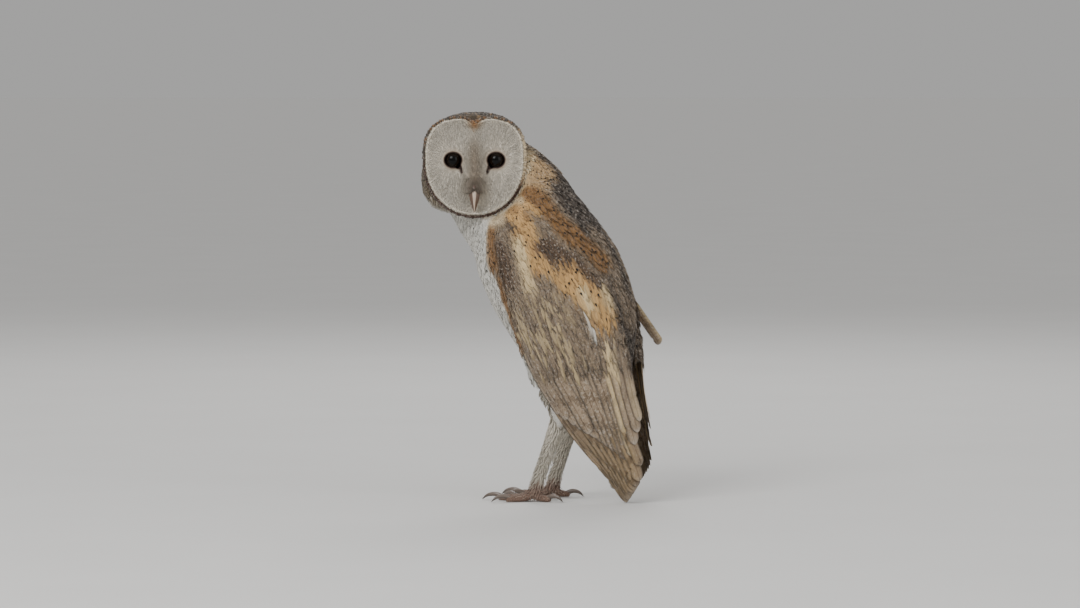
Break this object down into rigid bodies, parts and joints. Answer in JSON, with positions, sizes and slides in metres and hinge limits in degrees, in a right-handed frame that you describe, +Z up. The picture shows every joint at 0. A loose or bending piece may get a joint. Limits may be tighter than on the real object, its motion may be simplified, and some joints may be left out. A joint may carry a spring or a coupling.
{
  "type": "barn owl",
  "caption": "Life-size barn owl standing upright with folded wings, its head turned over its left shoulder.",
  "frame": {"origin": "under the middle of the owl, on the floor it stands on", "axes": "+Z up; the body faces -Y and its left side is +X"},
  "size_m": [0.1218, 0.2182, 0.35],
  "materials": {
    "plumage_face": "soft short feathers",
    "plumage_tawny": "soft tawny feathers",
    "plumage_white": "soft white down",
    "plumage_grey": "speckled grey-brown feathers",
    "eye": "wet and glossy",
    "horn": "satin horn",
    "toe_skin": "scaly skin",
    "claw": "satin horn"
  },
  "bodies": {
    "root": {"belly": "plumage_white", "bill_lower": "horn", "bill_upper": "horn", "breast": "plumage_white", "claw_l_hind": "claw", "claw_l_inner": "claw", "claw_l_middle": "claw", "claw_l_outer": "claw", "claw_r_hind": "claw", "claw_r_inner": "claw", "claw_r_middle": "claw", "claw_r_outer": "claw", "cranium": "plumage_tawny", "eye_l": "eye", "eye_r": "eye", "facial_disc": "plumage_face", "mantle": "plumage_grey", "neck": "plumage_white", "rump": "plumage_grey", "stray_quill_r": "plumage_grey", "tail": "plumage_grey", "tarsus_l": "plumage_white", "tarsus_r": "plumage_white", "thigh_l": "plumage_white", "thigh_r": "plumage_white", "toe_l_hind": "toe_skin", "toe_l_inner": "toe_skin", "toe_l_middle": "toe_skin", "toe_l_outer": "toe_skin", "toe_r_hind": "toe_skin", "toe_r_inner": "toe_skin", "toe_r_middle": "toe_skin", "toe_r_outer": "toe_skin", "wing_l_coverts": "plumage_grey", "wing_l_primaries": "plumage_tawny", "wing_l_secondaries": "plumage_grey", "wing_r_coverts": "plumage_grey", "wing_r_primaries": "plumage_tawny", "wing_r_secondaries": "plumage_grey"}
  },
  "joints": []
}
